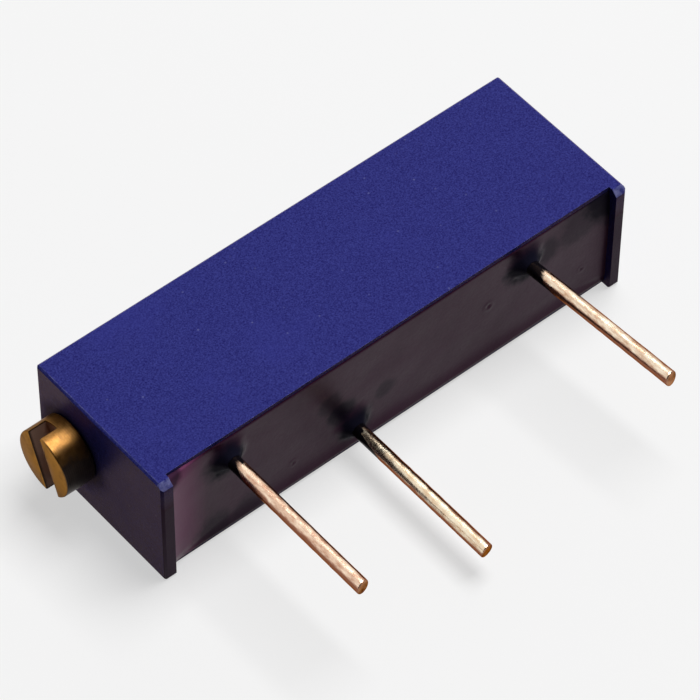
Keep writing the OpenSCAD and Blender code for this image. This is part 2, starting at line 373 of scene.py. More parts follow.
@dataclass(frozen=True)
class Finish:
    """A material with a fine mottle in colour, roughness and height.

    The two colours are the darkest and lightest of the mottle. Sizes are in millimetres,
    and a thin film's thickness is in nanometres.
    """

    name: str
    dark: str
    light: str
    roughness: float = 0.5
    roughness_spread: float = 0.1
    metallic: float = 0.0
    ior: float = 1.5
    specular: float = 0.5
    grain: float = 0.1
    relief: float = 0.002
    film: float = 0.0
    film_ior: float = 1.33
    tint: str = "#ffffff"

    def material(self) -> bpy.types.Material:
        """Build the material, or find it if it is already built.

        Returns:
            The material.
        """
        found = bpy.data.materials.get(self.name)
        if found:
            return found
        made = bpy.data.materials.new(self.name)
        made.use_nodes = True
        tree = made.node_tree
        tree.nodes.clear()
        values = {
            "Metallic": self.metallic,
            "IOR": self.ior,
            "Specular IOR Level": self.specular,
            "Thin Film Thickness": self.film,
            "Thin Film IOR": self.film_ior,
            "Specular Tint": srgb(self.tint),
            **self.pattern(tree),
        }
        shader = add_node(tree, "ShaderNodeBsdfPrincipled", values)
        add_node(tree, "ShaderNodeOutputMaterial", {"Surface": shader})
        return made

    def pattern(self, tree: Tree) -> dict[str, Node]:
        """Build the mottle.

        Args:
            tree: The material's tree.

        Returns:
            The node that each of the shader's patterned inputs takes.
        """
        mottle = self.mottle(tree, self.grain)
        colour = self.layered(tree, (mottle, self.light))
        return self.channels(tree, colour, mottle, ((mottle, self.relief),))

    def mottle(
        self, tree: Tree, size: float, detail: float = 3.0, coords: Node | Socket | None = None
    ) -> Node:
        """Return a noise with even lumps.

        Args:
            tree: The material's tree.
            size: Size of the lumps in millimetres.
            detail: Finer octaves in each lump.
            coords: Coordinates other than the object's own.

        Returns:
            The noise, from 0 to 1.
        """
        coords = coords or add_node(tree, TEX_COORD).outputs["Object"]
        values = {"Vector": coords, "Scale": per_metre(size), "Detail": detail, "Roughness": 0.6}
        fog = add_node(tree, "ShaderNodeTexNoise", values)
        return add_node(tree, MAP_RANGE, {0: fog, 1: 0.3, 2: 0.7})

    def layered(self, tree: Tree, *layers: tuple[Node, str | Node]) -> Node:
        """Return the darkest colour with others laid over it.

        Args:
            tree: The material's tree.
            *layers: A mask and a colour for each layer, from the lowest up.

        Returns:
            The colour.
        """
        colour = srgb(self.dark)
        for share, other in layers:
            over = srgb(other) if isinstance(other, str) else other
            colour = add_node(tree, MIX, {0: share, 6: colour, 7: over}, data_type="RGBA")
        return colour

    def channels(
        self, tree: Tree, colour: Node, gloss: Node, heights: Sequence[tuple[Node, float]]
    ) -> dict[str, Node]:
        """Gather the shader's patterned inputs.

        Args:
            tree: The material's tree.
            colour: The colour.
            gloss: Spreads the roughness around its middle as it goes from 0 to 1.
            heights: Heights from 0 to 1, each with its relief in millimetres.

        Returns:
            The node for each input.
        """
        half = self.roughness_spread / 2
        ends = {3: self.roughness - half, 4: self.roughness + half}
        rough = add_node(tree, MAP_RANGE, {0: gloss, **ends}, clamp=False)
        made = {"Base Color": colour, "Roughness": rough}
        for height, relief in heights:
            bump = {"Height": height, "Strength": 1.0, "Distance": relief * MM}
            if "Normal" in made:
                bump["Normal"] = made["Normal"]
            made["Normal"] = add_node(tree, "ShaderNodeBump", bump)
        return made


@dataclass(frozen=True)
class MouldedThermoset(Finish):
    """Blue thermoset compound from a spark-eroded mould: an even matte grain, slightly
    chalky in patches, with a few pale specks of filler and dust. The upper edges and the
    feet's cut corners are painted pale, partly as wear and partly as painted highlight;
    the end round the screw is darkened with painted shade; and the feet's front faces are
    painted dark plum with less shine as painted shade."""

    chalk: str = "#35398a"
    chalk_size: float = 3.5
    speck: str = "#7478ac"
    speck_pitch: float = 0.3
    # Pale of the upper edges and the feet's cut corners: partly wear, partly painted highlight where light catches
    # them.
    worn_lit_edge: str = "#8486ba"
    worn_lit_edge_size: float = 0.25
    # Painted shade: a ragged dark ring on the end round the screw's head, where the head darkens it.
    screw_shade_colour: str = "#0c0b14"
    screw_shade_from: float = 2.15
    screw_shade_to: float = 1.35
    screw_shade_ragged: float = 0.3
    # Painted shade: the feet's front faces are painted dark plum, with less shine and no film, less so at the top.
    front_shade: str = "#340c36"
    front_shade_specular: float = 0.07
    front_shade_from: float = 4.7
    front_shade_to: float = 3.6
    wave_size: float = 2.6
    wave_relief: float = 0.02

    def pattern(self, tree: Tree) -> dict[str, Node]:
        """Build the grain, chalky patches, specks, the worn and lit edges, the painted shade round the screw and
        the painted shade on the feet's front faces.

        Args:
            tree: The material's tree.

        Returns:
            The node that each of the shader's patterned inputs takes.
        """
        grain = self.mottle(tree, self.grain)
        patches = {0: self.mottle(tree, self.chalk_size), 1: 0.45, 2: 1.0, 4: 0.35}
        chalky = add_node(tree, MAP_RANGE, patches, **SMOOTH)
        screw_shade = self.screw_shade(tree)
        shaded_fronts = self.shaded_fronts(tree)
        colour = self.layered(
            tree,
            (grain, self.light),
            (chalky, self.chalk),
            (self.specks(tree), self.speck),
            # worn edges with painted highlight
            (self.edges(tree), self.worn_lit_edge),
            # painted shade round the screw
            (screw_shade, self.screw_shade_colour),
            # painted shade on the feet's front faces
            (shaded_fronts, self.front_shade),
        )
        # Roughness also rises under the painted shade round the screw.
        gloss = add_node(tree, MATH, {0: screw_shade, 1: 2.5, 2: grain}, operation="MULTIPLY_ADD")
        waves = self.mottle(tree, self.wave_size, 1.0)
        heights = ((waves, self.wave_relief), (grain, self.relief))
        made = self.channels(tree, colour, gloss, heights)
        # The painted shade on the feet's front faces also lowers their shine and removes the film.
        levels = {0: shaded_fronts, 3: self.specular, 4: self.front_shade_specular}
        made["Specular IOR Level"] = add_node(tree, MAP_RANGE, levels)
        made["Thin Film Thickness"] = add_node(tree, MAP_RANGE, {0: shaded_fronts, 3: self.film, 4: 0.0})
        return made

    def specks(self, tree: Tree) -> Node:
        """Return where a few pale specks lie.

        Args:
            tree: The material's tree.

        Returns:
            The mask.
        """
        coords = add_node(tree, TEX_COORD).outputs["Object"]
        spread = {"Vector": coords, "Scale": per_metre(self.speck_pitch)}
        cells = add_node(tree, "ShaderNodeTexVoronoi", spread)
        picked = add_node(tree, "ShaderNodeSeparateColor", {0: cells.outputs["Color"]})
        rare = add_node(tree, MAP_RANGE, {0: picked, 1: 0.8, 2: 1.0, 4: 0.5})
        near = add_node(tree, MAP_RANGE, {0: cells.outputs["Distance"], 1: 0.16, 2: 0.06})
        return add_node(tree, MATH, {0: near, 1: rare}, operation="MULTIPLY")

    def shaded_fronts(self, tree: Tree) -> Node:
        """Return where the feet's front faces get painted shade: on their front faces, less so at the top.

        Args:
            tree: The material's tree.

        Returns:
            The mask.
        """
        front = mask_along(tree, Follow.NORMAL, Axis.Y, -0.25, -0.6)
        on_foot = mask_along(tree, Follow.PLACE, Axis.Y, -3.0, -3.1)
        below = mask_along(tree, Follow.PLACE, Axis.Z, self.front_shade_from, self.front_shade_to)
        on_front = add_node(tree, MATH, {0: front, 1: on_foot}, operation="MULTIPLY")
        return add_node(tree, MATH, {0: on_front, 1: below}, operation="MULTIPLY")

    def edges(self, tree: Tree) -> Node:
        """Return where the moulding is painted pale, partly as wear and partly as painted
        highlight where light catches it: on the upper half of rounded edges, and on all of the
        feet's cut corners.

        Args:
            tree: The material's tree.

        Returns:
            The mask.
        """
        on_foot = mask_along(tree, Follow.PLACE, Axis.Y, -2.92, -2.96)
        corner = mask_along(tree, Follow.NORMAL, Axis.Z, 0.5, 0.65)
        cut = add_node(tree, MATH, {0: corner, 1: on_foot}, operation="MULTIPLY")
        upper = mask_along(tree, Follow.NORMAL, Axis.Z, 0.76, 0.84)
        either = add_node(tree, MATH, {0: upper, 1: cut}, operation="MAXIMUM")
        not_top = mask_along(tree, Follow.NORMAL, Axis.Z, 0.995, 0.975)
        edge = add_node(tree, MATH, {0: either, 1: not_top}, operation="MULTIPLY")
        lumps = {0: self.mottle(tree, self.worn_lit_edge_size), 1: 0.2, 2: 0.9, 3: 0.1, 4: 0.9}
        broken = add_node(tree, MAP_RANGE, lumps)
        return add_node(tree, MATH, {0: edge, 1: broken}, operation="MULTIPLY")

    def screw_shade(self, tree: Tree) -> Node:
        """Return where painted shade darkens the end round the screw.

        Args:
            tree: The material's tree.

        Returns:
            The mask.
        """
        lumps = self.mottle(tree, 0.5)
        ragged = {0: lumps, 1: self.screw_shade_ragged * MM, 2: off_screw_axis(tree)}
        reach = add_node(tree, MATH, ragged, operation="MULTIPLY_ADD")
        ring = {0: reach, 1: self.screw_shade_from * MM, 2: self.screw_shade_to * MM, 4: 0.9}
        soft = add_node(tree, MAP_RANGE, ring, **SMOOTH)
        on_end = mask_along(tree, Follow.NORMAL, Axis.X, -0.5, -0.8)
        return add_node(tree, MATH, {0: soft, 1: on_end}, operation="MULTIPLY")


@dataclass(frozen=True)
class CastEpoxy(Finish):
    """Dark epoxy that was poured and cured: smooth and half glossy, with long low waves
    where it drew back and a little dust in its skin. Spots of painted shade and painted
    dark reflection, black and without shine, lie round the wires, in the upper far corner
    and here and there. Next to the foot at the screw's end a lighter plum is painted as a
    painted highlight.

    Each spot of painted shade has its place along the case, its height, its radius and its strength.
    """

    # Painted shade and painted dark reflection: black spots with almost no shine.
    spot_shade: str = "#1c1c2c"
    spot_shade_shine: float = 0.01
    spot_shade_places: tuple[tuple[float, float, float, float], ...] = (
        (-6.85, 3.6, 0.8, 1.0),
        (-1.6, 1.2, 0.75, 1.0),
        (-2.1, 2.1, 0.6, 0.8),
        (-2.6, 2.9, 0.5, 0.5),
        (5.55, 3.65, 0.85, 1.0),
        (6.5, 3.6, 0.6, 0.6),
        (9.2, 4.4, 1.2, 0.95),
        (7.9, 3.9, 0.9, 0.5),
        (-9.2, 4.6, 0.6, 0.8),
        (-7.4, 0.5, 0.8, 0.6),
        (-6.1, 0.4, 0.7, 0.5),
        (-0.3, 1.95, 0.4, 0.5),
    )
    cloud_size: float = 0.9
    # Painted highlight: a lighter plum strip in the epoxy by the foot at the screw's end, where light catches it.
    end_highlight: str = "#985680"
    end_highlight_from: float = -7.4
    end_highlight_to: float = -8.6
    wave_size: float = 1.6
    wave_relief: float = 0.012

    def pattern(self, tree: Tree) -> dict[str, Node]:
        """Build the waves, the dusty skin, the painted highlight by the screw's end and the spots of painted
        shade.

        Args:
            tree: The material's tree.

        Returns:
            The node that each of the shader's patterned inputs takes.
        """
        skin = self.mottle(tree, self.grain)
        cloud = self.mottle(tree, self.cloud_size)
        # Painted highlight towards the screw's end.
        end_highlight = mask_along(tree, Follow.PLACE, Axis.X, self.end_highlight_from, self.end_highlight_to, **SMOOTH)
        spot_shade_mask = self.shade_spots(tree)
        # A lighter plum painted highlight by the screw's end, then black spots of painted shade.
        colour = self.layered(tree, (cloud, self.light), (end_highlight, self.end_highlight), (spot_shade_mask, self.spot_shade))
        waves = self.mottle(tree, self.wave_size, 1.0)
        heights = ((waves, self.wave_relief), (skin, self.relief))
        made = self.channels(tree, colour, skin, heights)
        # The spots of painted shade lose their shine.
        levels = {0: spot_shade_mask, 3: self.specular, 4: self.spot_shade_shine}
        made["Specular IOR Level"] = add_node(tree, MAP_RANGE, levels)
        return made

    def shade_spots(self, tree: Tree) -> Node:
        """Return where the spots of painted shade and painted dark reflection lie.

        Args:
            tree: The material's tree.

        Returns:
            The mask.
        """
        coords = add_node(tree, TEX_COORD).outputs["Object"]
        ragged = self.mottle(tree, 0.7)
        spot_shade_mask = None
        for along, height, radius, share in self.spot_shade_places:
            flat = {0: coords, 1: (-along * MM, 0.0, -height * MM), 3: (1.0, 0.0, 1.0)}
            centred = add_node(tree, MAPPING, flat)
            away = add_node(tree, VECTOR_MATH, {0: centred}, operation="LENGTH")
            reach = {0: ragged, 1: 0.4 * radius * MM, 2: away}
            uneven = add_node(tree, MATH, reach, operation="MULTIPLY_ADD")
            edge = {0: uneven, 1: 1.5 * radius * MM, 2: 0.8 * radius * MM, 4: share}
            spot = add_node(tree, MAP_RANGE, edge, **SMOOTH)
            spot_shade_mask = add_node(tree, MATH, {0: spot_shade_mask, 1: spot}, operation="MAXIMUM") if spot_shade_mask else spot
        return spot_shade_mask


@dataclass(frozen=True)
class TurnedBrass(Finish):
    """Free-cutting brass from a lathe: fine tool rings, which stretch the light along the
    sides, browned in patches where fingers and the fluxes of soldering have tarnished it. The
    slotted end faces are coloured a darker brass, and the lower side of the head is painted
    near black with less metal shine as painted shade."""

    # The tool's feed was about 0.03 mm, drawn some twelve times as coarse so that it shows.
    ring: float = 0.377
    ring_wander: float = 1.2
    tarnish: str = "#5c442c"
    tarnish_size: float = 0.5
    # Colour of the slotted end faces, darker than the sides.
    end_darker: str = "#966a32"
    slot_dirt: str = "#a88878"
    # Painted shade: the lower side of the head, facing down and to the front, is painted near black with less
    # metal shine.
    head_shade: str = "#1c1819"
    head_shade_way: tuple[float, float, float] = (0.0, -0.9, -0.43)
    head_shade_metallic: float = 0.3
    gloss_size: float = 0.25
    slot_radius: float = 1.19
    slot_edge: float = 0.06

    def pattern(self, tree: Tree) -> dict[str, Node]:
        """Build the tool rings, the tarnish, the darker end, the slot's dirt and the painted shade under the head.

        Args:
            tree: The material's tree.

        Returns:
            The node that each of the shader's patterned inputs takes.
        """
        bright = self.mottle(tree, self.grain)
        end = mask_along(tree, Follow.NORMAL, Axis.X, -0.6, -0.9, 0.9)
        stained = {0: self.mottle(tree, self.tarnish_size), 1: 0.35, 2: 1.0, 4: 0.5}
        stain = add_node(tree, MAP_RANGE, stained, **SMOOTH)
        head_underside_shade = self.head_underside_shade(tree)
        colour = self.layered(
            tree,
            (bright, self.light),
            # the slotted end faces, darker
            (end, self.end_darker),
            (stain, self.tarnish),
            # painted shade under the head
            (head_underside_shade, self.head_shade),
            (self.in_slot(tree), self.slot_dirt),
        )
        gloss = self.mottle(tree, self.gloss_size)
        made = self.channels(tree, colour, gloss, ((self.rings(tree), self.relief),))
        # Less metal shine under the painted shade.
        shine = {0: head_underside_shade, 3: self.metallic, 4: self.head_shade_metallic}
        made["Metallic"] = add_node(tree, MAP_RANGE, shine)
        return made

    def rings(self, tree: Tree) -> Node:
        """Return the tool's rings, along the sides and fainter on the end.

        Args:
            tree: The material's tree.

        Returns:
            The height.
        """
        coords = add_node(tree, TEX_COORD).outputs["Object"]
        centred = add_node(tree, MAPPING, {0: coords, 1: tuple(-screw_axis() * MM)})
        # A wave texture turns by 20 radians for each unit.
        feed = {0: centred, "Scale": per_metre(self.ring) * math.tau / 20}
        wave = {**feed, "Distortion": self.ring_wander, "Detail Scale": 4}
        kind = "ShaderNodeTexWave"
        on_side = add_node(tree, kind, wave, bands_direction="X").outputs[1]
        on_end = add_node(tree, kind, wave, wave_type="RINGS", rings_direction="X").outputs[1]
        return add_node(tree, MATH, {0: on_end, 1: 0.3, 2: on_side}, operation="MULTIPLY_ADD")

    def head_underside_shade(self, tree: Tree) -> Node:
        """Return where painted shade covers the lower side of the head.

        Args:
            tree: The material's tree.

        Returns:
            The mask.
        """
        normal = add_node(tree, TEX_COORD).outputs["Normal"]
        facing = {0: normal, 1: self.head_shade_way}
        below = add_node(tree, VECTOR_MATH, facing, operation="DOT_PRODUCT").outputs[1]
        ragged = {0: self.mottle(tree, 0.3), 1: 0.3, 2: below}
        uneven = add_node(tree, MATH, ragged, operation="MULTIPLY_ADD")
        reach = {0: uneven, 1: 0.25, 2: 0.75, 4: 0.95}
        low = add_node(tree, MAP_RANGE, reach, **SMOOTH)
        on_side = mask_along(tree, Follow.NORMAL, Axis.X, -0.6, -0.3)
        return add_node(tree, MATH, {0: low, 1: on_side}, operation="MULTIPLY")

    def in_slot(self, tree: Tree) -> Node:
        """Return 1 under the head's end and sides, which is where its slot is.

        Args:
            tree: The material's tree.

        Returns:
            The mask.
        """
        rim = self.slot_radius * MM
        within = {0: off_screw_axis(tree), 1: rim, 2: rim - 0.04 * MM, 4: 0.8}
        inside = add_node(tree, MAP_RANGE, within)
        end = node_box("lead_screw")[0].x
        from_edge, to_full = end + self.slot_edge / 2, end + self.slot_edge * 2
        deep = mask_along(tree, Follow.PLACE, Axis.X, from_edge, to_full)
        return add_node(tree, MATH, {0: inside, 1: deep}, operation="MULTIPLY")


@dataclass(frozen=True)
class DippedWire(Finish):
    """Copper wire dipped in solder: the slim coat froze in long patches. A band facing up,
    leaned a little towards -X, keeps the light colours as a painted highlight, and the rest
    of the wire is painted coppery brown as painted shade. The sheared end is dark bare
    copper with solder smeared over part of it. A film of epoxy has crept up the root, least
    far on the upper side."""

    crept: str = "#0d0b10"
    # Painted shade: the wire outside its band facing up takes this coppery brown.
    wire_shade: str = "#8e5e4a"
    bare: str = "#3a241c"
    smeared: str = "#b88a6c"
    smear_size: float = 0.4
    pit_size: float = 0.05
    creep_start: float = -3.2
    creep_least: float = 0.1
    creep_more: float = 0.5
    creep_edge: float = 0.12
    creep_specular: float = 0.1
    # How far the band of painted highlight leans towards -X, in degrees.
    lit_turn: float = 14.0

    def pattern(self, tree: Tree) -> dict[str, Node]:
        """Build the frozen patches, the painted highlight and painted shade, the bare end and the root.

        Args:
            tree: The material's tree.

        Returns:
            The node that each of the shader's patterned inputs takes.
        """
        place = add_node(tree, TEX_COORD)
        long = {0: place.outputs["Object"], 3: (1.0, 0.3, 1.0)}
        stretched = add_node(tree, MAPPING, long)
        patches = self.mottle(tree, self.grain, coords=stretched)
        pits = self.mottle(tree, self.pit_size)
        # Painted highlight on a band facing up, leaned by the turn above; painted shade on the rest of the wire.
        turn = math.radians(self.lit_turn)
        lit_way = {0: place.outputs["Normal"], 1: (-math.sin(turn), 0.0, math.cos(turn))}
        upward = add_node(tree, VECTOR_MATH, lit_way, operation="DOT_PRODUCT")
        uneven = add_node(tree, MATH, {0: patches, 1: 0.16, 2: upward}, operation="MULTIPLY_ADD")
        under = add_node(tree, MAP_RANGE, {0: uneven, 1: 0.96, 2: 0.74})
        cut = mask_along(tree, Follow.NORMAL, Axis.Y, -0.6, -0.85)
        film = self.creep(tree, place, patches)
        smear = self.mottle(tree, self.smear_size)
        ends = {0: smear, 6: srgb(self.bare), 7: srgb(self.smeared)}
        sheared = add_node(tree, MIX, ends, data_type="RGBA")
        colour = self.layered(
            tree, (patches, self.light), (under, self.wire_shade), (cut, sheared), (film, self.crept)
        )
        made = self.channels(tree, colour, pits, ((patches, self.relief), (pits, self.relief / 2)))
        made["Metallic"] = add_node(tree, MATH, {0: 1.0, 1: film}, operation="SUBTRACT")
        levels = {0: film, 3: self.specular, 4: self.creep_specular}
        made["Specular IOR Level"] = add_node(tree, MAP_RANGE, levels)
        return made

    def creep(self, tree: Tree, place: Node, patches: Node) -> Node:
        """Return where the film of epoxy covers the wire.

        Args:
            tree: The material's tree.
            place: The coordinates' node.
            patches: Makes the film's edge ragged.

        Returns:
            The mask.
        """
        up = add_node(tree, SEPARATE, {0: place.outputs["Normal"]}).outputs[2]
        most = self.creep_least + self.creep_more
        reach = {0: up, 3: most * MM, 4: self.creep_least * MM}
        creep = add_node(tree, MAP_RANGE, reach)
        ragged = {0: patches, 1: 0.25 * MM, 2: creep}
        edge = add_node(tree, MATH, ragged, operation="MULTIPLY_ADD")
        along = add_node(tree, SEPARATE, {0: place.outputs["Object"]}).outputs[1]
        left = add_node(tree, MATH, {0: along, 1: edge}, operation="ADD")
        level, soft = self.creep_start * MM, self.creep_edge * MM
        film = {0: left, 1: level - soft, 2: level + soft}
        return add_node(tree, MAP_RANGE, film, **SMOOTH)


CASE_BLUE = MouldedThermoset(
    "diallyl_phthalate_moulded",
    "#1b1c5f",
    "#3b408b",
    roughness=0.4,
    specular=0.237,
    grain=0.055,
    relief=0.003,
    tint="#ffe7e1",
    film=130,
    film_ior=1.19,
)
SEALANT_DARK = CastEpoxy(
    "epoxy_cast",
    "#240a1d",
    "#2e1026",
    roughness=0.34,
    roughness_spread=0.08,
    ior=1.55,
    specular=0.16,
    grain=0.12,
    relief=0.0015,
    tint="#ff7cda",
)
SCREW_BRASS = TurnedBrass(
    "brass_turned",
    "#704e26",
    "#8a6234",
    roughness=0.33,
    metallic=1.0,
    grain=0.15,
    relief=0.0016,
    tint="#ccc0b8",
)
WIRES_TINNED = tuple(
    DippedWire(
        f"copper_wire_solder_dipped_{number}",
        dark,
        light,
        roughness=0.22,
        roughness_spread=0.16,
        metallic=1.0,
        grain=0.12,
        relief=0.0015,
        tint="#d0a080",
        creep_least=least,
        creep_more=more,
        lit_turn=turn,
    )
    for number, dark, light, least, more, turn in (
        # Number, darkest and lightest colour, least creep, further creep below, and the lean of the painted
        # highlight band in degrees.
        (1, "#cc9c80", "#ffe6cc", 0.1, 0.5, 14.0),
        (2, "#e0c09c", "#fff4da", 0.0, 1.1, 26.0),
        (3, "#d0a888", "#fff0d8", 0.3, 0.5, 14.0),
    )
)
# Silicone rubber from a ground mould: even and dull.
SEAL_RUBBER = Finish(
    "silicone_rubber_moulded", "#64291d", "#7a3627", roughness=0.6, ior=1.43, grain=0.05
)
# Spring steel from a stamping die: grey, half bright, with a fine grain.
CLIP_STEEL = Finish(
    "spring_steel_stamped",
    "#a9adb3",
    "#c8ccd1",
    roughness=0.35,
    roughness_spread=0.12,
    metallic=1.0,
    grain=0.08,
)
# Nylon from a polished mould: milky, with a soft shine.
CARRIAGE_NYLON = Finish("nylon_moulded", "#dcd6c4", "#ebe6d8", ior=1.53, grain=0.12)
# Palladium alloy, rolled thin and stamped: warm, bright and a little uneven.
WIPER_ALLOY = Finish(
    "palladium_alloy_stamped",
    "#b89f66",
    "#d8c48a",
    roughness=0.3,
    roughness_spread=0.14,
    metallic=1.0,
    grain=0.06,
)
# Fired alumina: off-white, dense and matt, like unglazed porcelain.
ALUMINA_PLATE = Finish(
    "alumina_fired", "#e6e3d8", "#f3f1ea", roughness=0.55, ior=1.76, grain=0.04
)
# Cermet ink, printed and fired: near black and slightly glassy.
TRACK_CERMET = Finish(
    "cermet_ink_fired",
    "#222224",
    "#3c3c40",
    roughness=0.42,
    roughness_spread=0.16,
    ior=1.9,
    grain=0.05,
)
# Palladium-silver ink, printed and fired: a dull grey metal with a sandy face.
PAD_SILVER = Finish(
    "palladium_silver_ink_fired",
    "#a3a29c",
    "#c3c2bc",
    roughness=0.45,
    roughness_spread=0.14,
    metallic=1.0,
    grain=0.06,
)
# Tin-lead solder that melted and froze: bright, in broad soft clouds.
SOLDER_SOFT = Finish(
    "tin_lead_solder_reflowed",
    "#a9adb3",
    "#cfd2d6",
    roughness=0.24,
    roughness_spread=0.12,
    metallic=1.0,
    grain=0.2,
)


# ---- Case ----


@dataclass
class CaseMoulding:
    """The blue case, with the small roundings that the mould gives its edges, and the
    upper corners taken off its feet."""

    edge_round: float = 0.03
    foot_cut: float = 0.22

    def build(self) -> None:
        """Build the moulding from the CAD case."""
        bm = cad_copy("case")
        self.cut_feet(bm)
        soften(bm, self.edge_round)
        make_piece("case_moulding", bm, Body.CASE, CASE_BLUE, "case")

    def cut_feet(self, bm: Mesh) -> None:
        """Take the upper corners off both feet.

        Args:
            bm: The case's mesh.
        """
        low, high = node_box("case")
        bmesh.ops.bisect_plane(
            bm,
            geom=bm.verts[:] + bm.edges[:] + bm.faces[:],
            dist=1e-4,
            plane_co=(0, low.y + self.foot_cut, high.z),
            plane_no=Vector((0, -1, 1)).normalized(),
            clear_outer=True,
        )
        bmesh.ops.holes_fill(bm, edges=[e for e in bm.edges if e.is_boundary], sides=0)


# ---- Sealant ----


@dataclass
class SealantFill:
    """The epoxy in the open side: fillets against the walls and a mound at each terminal.

    Each bubble mark has its place along and across the case, and its radius.
    """

    mound_height: float = 0.38
    mound_rise: float = 0.28
    mound_radius: float = 0.85
    mound_wobble: float = 0.1
    mound_lean: float = 0.22
    mound_top: float = 0.285
    grid_step: float = 0.07
    hole_radius: float = 0.52
    ring_radii: tuple[float, ...] = (
        0.48, 0.45, 0.42, 0.39, 0.365, 0.34, 0.32, 0.305, 0.295, 0.287, 0.24,
    )
    lift: float = 0.08
    overlap: float = 0.4
    screw_end_rise: float = 0.25
    far_end_rise: float = 0.1
    end_reach: float = 0.7
    end_inset: float = 0.5
    edge_fall: float = 0.1
    edge_reach: float = 0.12
    skin: float = 0.005
    low_rise: float = 0.08
    low_reach: float = 0.4
    sink: float = 0.04
    sink_reach: float = 0.9
    swell: float = 0.015
    swell_size: tuple[float, float] = (2.2, 1.3)
    bubble_marks: tuple[tuple[float, float, float], ...] = (
        (4.05, 0.3, 0.14),
        (-4.1, -1.2, 0.1),
        (8.1, -0.9, 0.1),
    )
    bubble_lip: float = 0.02
    bubble_dent: float = 0.03
    centres: list[Vector] = field(default_factory=list)

    def build(self) -> None:
        """Build the fill in its own plane, with +Z outwards, and turn it into place."""
        low, high = node_box("potting_seal")
        level = low.y + self.mound_height - self.lift
        middle = (low.z + high.z) / 2
        length, width = high.x - low.x, high.z - low.z + 2 * self.overlap
        place = Matrix.Translation((0, level, middle)) @ Matrix.Rotation(math.pi / 2, 4, "X")
        self.centres = [self.foot_of(i, place) for i in (1, 2, 3)]
        bm = bmesh.new()
        bmesh.ops.create_grid(
            bm,
            x_segments=round(length / self.grid_step),
            y_segments=round(width / self.grid_step),
            size=0.5,
            matrix=Matrix.Diagonal((length, width, 1, 1)),
        )
        rim = [e for e in bm.edges if e.is_boundary]
        self.open_holes(bm)
        for vert in bm.verts:
            vert.co.z = self.height_at(vert.co.x, vert.co.y, length / 2, width / 2)
        on_wall = self.edge_fall + self.skin
        over, within = width / 2, width / 2 - self.overlap
        for depth, half in ((on_wall, over), (on_wall, within), (high.y - level, over)):
            rim, points = draw_out(bm, rim)
            for vert in points:
                vert.co.y = min(max(vert.co.y, -half), half)
                vert.co.z = -depth
        bmesh.ops.edgeloop_fill(bm, edges=rim)
        bmesh.ops.remove_doubles(bm, verts=bm.verts, dist=1e-4)
        bmesh.ops.recalc_face_normals(bm, faces=bm.faces)
        bmesh.ops.transform(bm, matrix=place, verts=bm.verts)
        make_piece("sealant_fill", bm, Body.CASE, SEALANT_DARK, "potting_seal")

    def foot_of(self, number: int, place: Matrix) -> Vector:
        """Return where a terminal's axis meets the sealant's level, in the fill's plane.

        Args:
            number: The terminal's number.
            place: The fill's place in the frame.

        Returns:
            The point in the fill's own plane.
        """
        point, axis = mount_axis(f"terminal_{number}")
        level = place.translation.y
        return place.inverted() @ (point + axis * (level - point.y) / axis.y)

    def open_holes(self, bm: Mesh) -> None:
        """Open a round hole at each terminal and draw rings in to it.

        Args:
            bm: The flat grid.
        """
        for centre in self.centres:
            middle = centre.xy
            inside = [
                f
                for f in bm.faces
                if (f.calc_center_median().xy - middle).length < self.hole_radius
            ]
            edges = {e for f in inside for e in f.edges}
            outline = [e for e in edges if sum(f in inside for f in e.link_faces) == 1]
            bmesh.ops.delete(bm, geom=inside, context="FACES")
            for radius in self.ring_radii:
                outline, points = draw_out(bm, outline)
                for vert in points:
                    vert.co.xy = middle + (vert.co.xy - middle).normalized() * radius
            bmesh.ops.edgeloop_fill(bm, edges=outline)

    def height_at(self, x: float, y: float, half_length: float, half_width: float) -> float:
        """Return how high the cured surface stands over its level.

        It runs over the edges of the side walls in a thin skin, climbs the feet and the
        lower wall, has sunk in the upper far corner, and has a few dents where bubbles broke.

        Args:
            x: Place along the case.
            y: Place across the case, from its middle.
            half_length: Half the fill's length.
            half_width: Half the fill's width.

        Returns:
            The height in millimetres.
        """
        inset = clamped((half_width - abs(y)) / self.edge_reach)
        edge = -self.edge_fall * (1 - math.sqrt(1 - (1 - inset) ** 2))
        rise = self.screw_end_rise if x < 0 else self.far_end_rise
        end_inset = clamped((half_width - abs(y)) / self.end_inset) ** 0.5
        end = rise * math.exp(-(half_length - abs(x)) / self.end_reach) * end_inset
        low = self.low_rise * math.exp(-(((half_width + y) / self.low_reach) ** 2)) * inset
        corner = Vector((half_length - x, half_width - y)).length / self.sink_reach
        sink = self.sink * math.exp(-(corner**2))
        along, across = self.swell_size
        swell = self.swell * noise.noise(Vector((x / along, y / across, 4.7)))
        mound = max(self.mound_at(Vector((x, y)) - c.xy) for c in self.centres)
        reaches = (Vector((x - u, y - v)).length / size for u, v, size in self.bubble_marks)
        dents = sum(self.dent_at(reach) for reach in reaches)
        return edge + max(end, low) - sink + swell + mound + dents

    def dent_at(self, reach: float) -> float:
        """Return a broken bubble's dent and lip, at a distance in dent radii."""
        lip = self.bubble_lip * math.exp(-((reach - 1) ** 2) * 6)
        return lip - self.bubble_dent * math.exp(-(reach**2) * 2)

    def mound_at(self, offset: Vector) -> float:
        """Return the height of a mound, which is hollow and widest above.

        Args:
            offset: Offset from the mound's terminal.

        Returns:
            The height in millimetres.
        """
        turn = math.atan2(offset.y, offset.x)
        uneven = noise.noise(Vector((2 * math.cos(turn), 2 * math.sin(turn), 1.3)))
        wobble = 1 + self.mound_wobble * uneven
        radius = self.mound_radius * wobble * (1 + self.mound_lean * math.sin(turn))
        share = clamped((radius - offset.length) / (radius - self.mound_top))
        return self.mound_rise * share * share


# ---- Terminals ----


